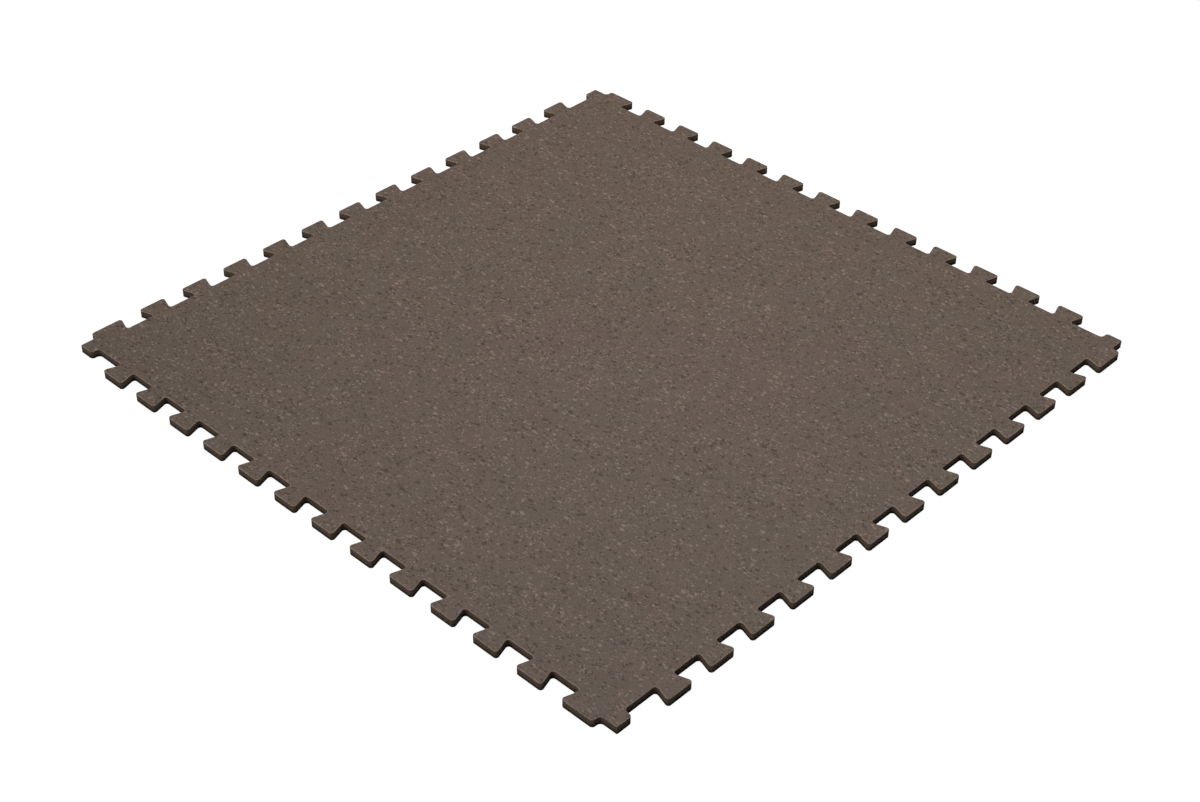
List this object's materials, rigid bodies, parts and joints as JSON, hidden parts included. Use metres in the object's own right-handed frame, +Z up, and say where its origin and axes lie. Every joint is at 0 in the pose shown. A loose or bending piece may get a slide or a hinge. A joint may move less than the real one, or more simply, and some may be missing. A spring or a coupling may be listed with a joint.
{
  "type": "interlocking vinyl floor tile",
  "caption": "Square slab of flecked vinyl flooring with dovetail tabs and slots along all four edges that lock it to identical neighbouring tiles.",
  "frame": {"origin": "centre of the flat underside, on the floor", "axes": "+Z up out of the wearing face; X and Y along the tile's edges. All four edges are alike, a quarter turn apart, and walking anticlockwise round the tile seen from above each edge ends in the wider tab"},
  "size_m": [0.512, 0.512, 0.0058],
  "materials": {
    "vinyl": "matte"
  },
  "bodies": {
    "root": {"tile": "vinyl"}
  },
  "joints": []
}
